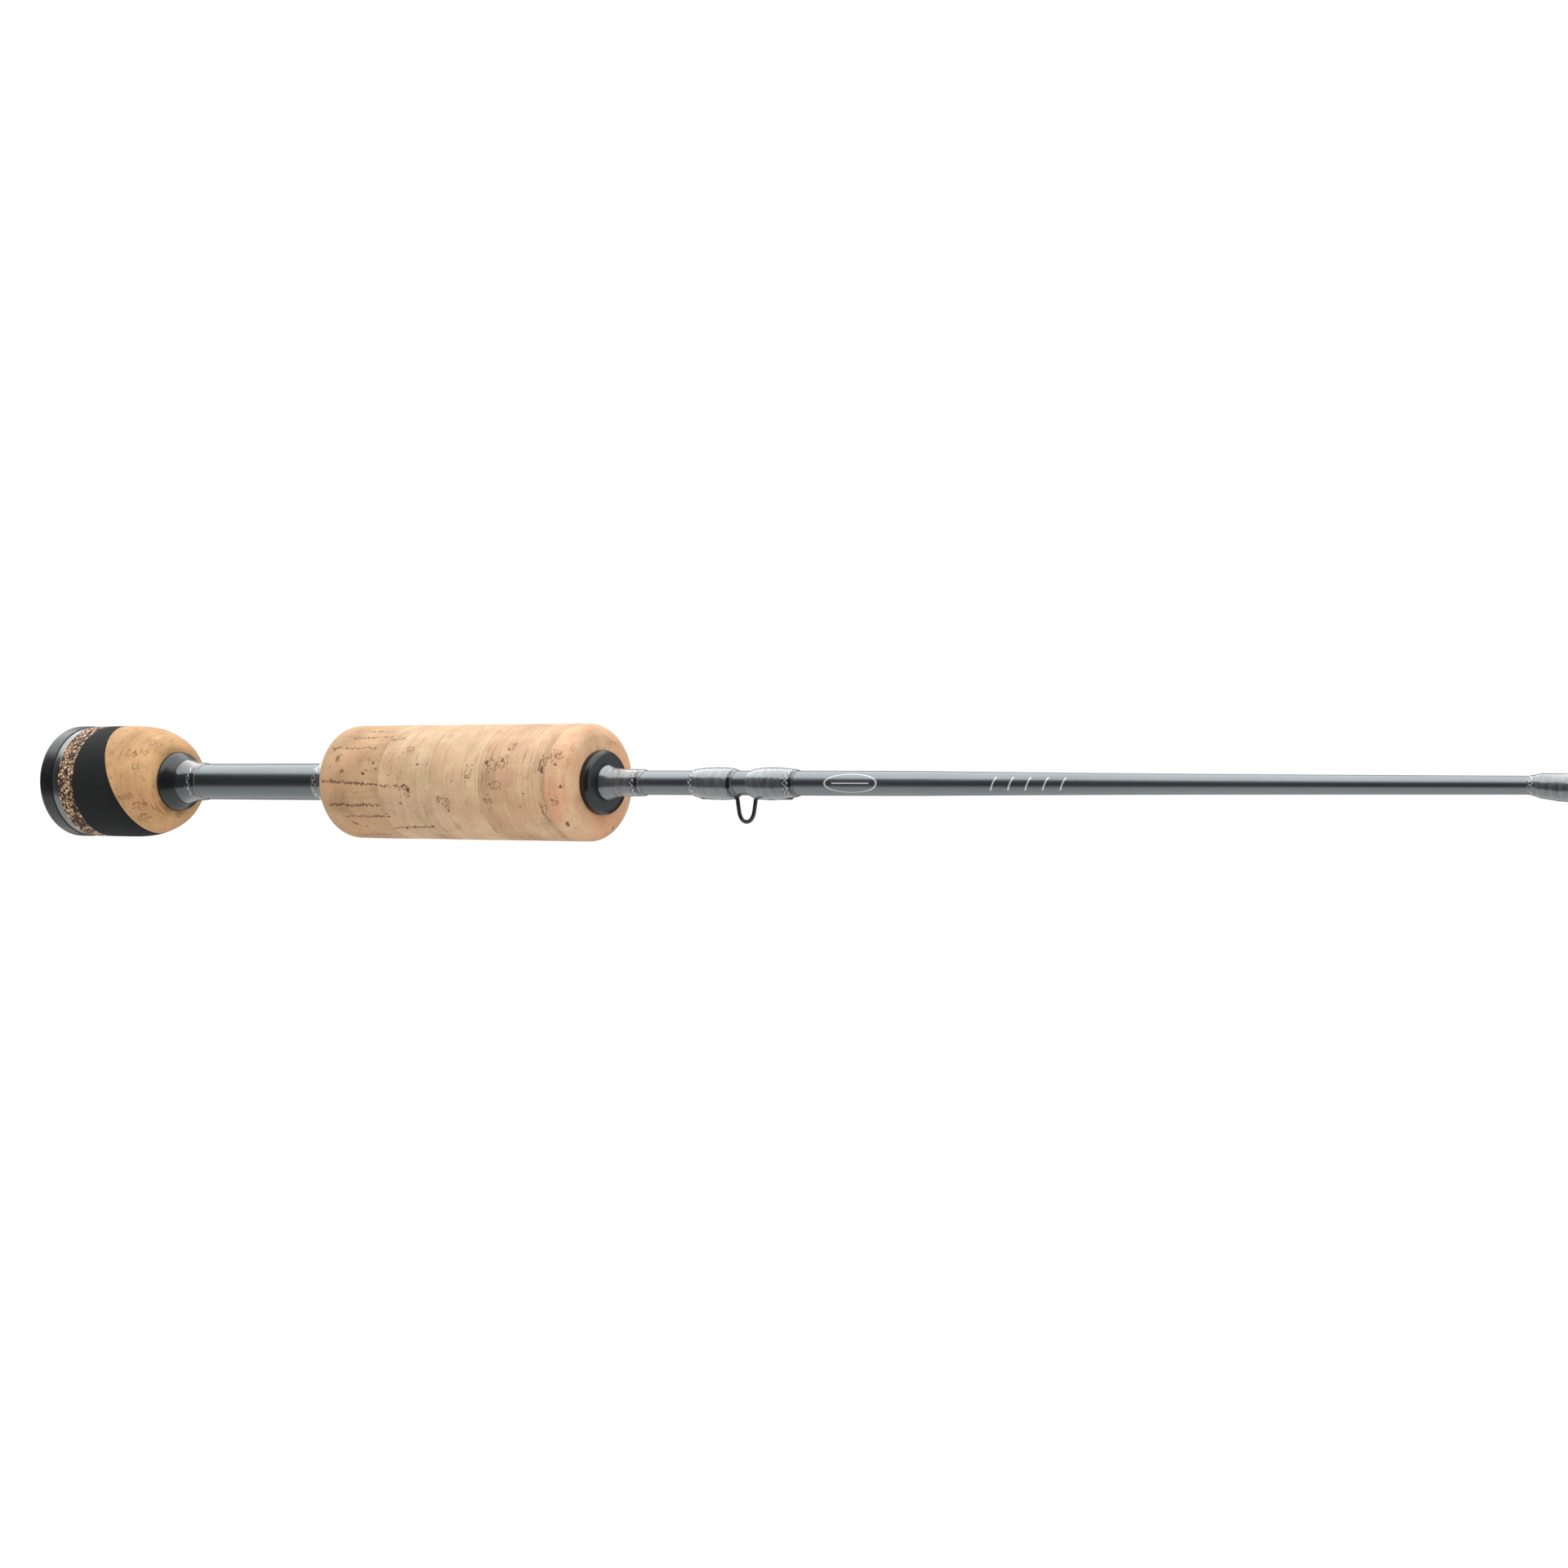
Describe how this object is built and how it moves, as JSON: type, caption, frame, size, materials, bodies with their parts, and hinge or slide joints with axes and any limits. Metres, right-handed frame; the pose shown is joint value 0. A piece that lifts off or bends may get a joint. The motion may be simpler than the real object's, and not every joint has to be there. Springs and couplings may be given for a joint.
{
  "type": "ice fishing rod",
  "caption": "Short tapered fishing rod with split cork grips, thread-bound line guides, a wire hook keeper and a tip-top.",
  "frame": {"origin": "centre of the butt cap's flat end, on the rod's axis", "axes": "+X along the rod towards the tip, +Z away from the line guides, +Y completes the frame"},
  "size_m": [0.711, 0.0266, 0.0304],
  "materials": {
    "cap_rubber": "black moulded, satin",
    "trim_metal": "satin silver-grey",
    "burl_cork": "granulated cork in a dark binder, sanded",
    "black_composite": "matt, fine-grained",
    "cork": "natural cork, sanded",
    "check_black": "satin black",
    "thread_epoxy": "grey thread under clear gloss epoxy",
    "trim_thread": "silver metallic thread under clear gloss epoxy",
    "handle_tube": "slate grey, satin",
    "blank": "slate grey, satin",
    "bushing": "plain",
    "black_wire": "gloss black",
    "ring_ceramic": "polished dark grey"
  },
  "bodies": {
    "root": {"black_composite_ring": "black_composite", "blank": "blank", "blank_bushing_front": "bushing", "blank_bushing_rear": "bushing", "burl_cork_ring": "burl_cork", "butt_cap": "cap_rubber", "butt_cork": "cork", "butt_trim_ring": "trim_metal", "fore_grip_cork_1": "cork", "fore_grip_cork_2": "cork", "fore_grip_cork_3": "cork", "fore_grip_cork_4": "cork", "fore_grip_cork_5": "cork", "front_check_trim_band": "trim_thread", "front_check_wrap": "thread_epoxy", "front_winding_check": "check_black", "guide_2_frame": "black_wire", "guide_2_ring": "ring_ceramic", "guide_2_trim_band": "trim_thread", "guide_2_wrap": "thread_epoxy", "guide_3_frame": "black_wire", "guide_3_ring": "ring_ceramic", "guide_3_trim_band": "trim_thread", "guide_3_wrap": "thread_epoxy", "guide_4_frame": "black_wire", "guide_4_ring": "ring_ceramic", "guide_4_trim_band": "trim_thread", "guide_4_wrap": "thread_epoxy", "guide_5_frame": "black_wire", "guide_5_ring": "ring_ceramic", "guide_5_trim_band": "trim_thread", "guide_5_wrap": "thread_epoxy", "handle_tube": "handle_tube", "hook_keeper": "black_wire", "keeper_front_trim_band": "trim_thread", "keeper_front_wrap": "thread_epoxy", "keeper_rear_trim_band": "trim_thread", "keeper_rear_wrap": "thread_epoxy", "rear_check_trim_band": "trim_thread", "rear_check_wrap": "thread_epoxy", "rear_winding_check": "check_black", "stripper_guide_frame": "black_wire", "stripper_guide_front_trim_band": "trim_thread", "stripper_guide_front_wrap": "thread_epoxy", "stripper_guide_rear_trim_band": "trim_thread", "stripper_guide_rear_wrap": "thread_epoxy", "stripper_guide_ring": "ring_ceramic", "tip_top_frame": "black_wire", "tip_top_ring": "ring_ceramic", "tip_top_trim_band": "trim_thread", "tip_top_wrap": "thread_epoxy", "tube_end_trim_band": "trim_thread", "tube_end_wrap": "thread_epoxy"}
  },
  "joints": []
}
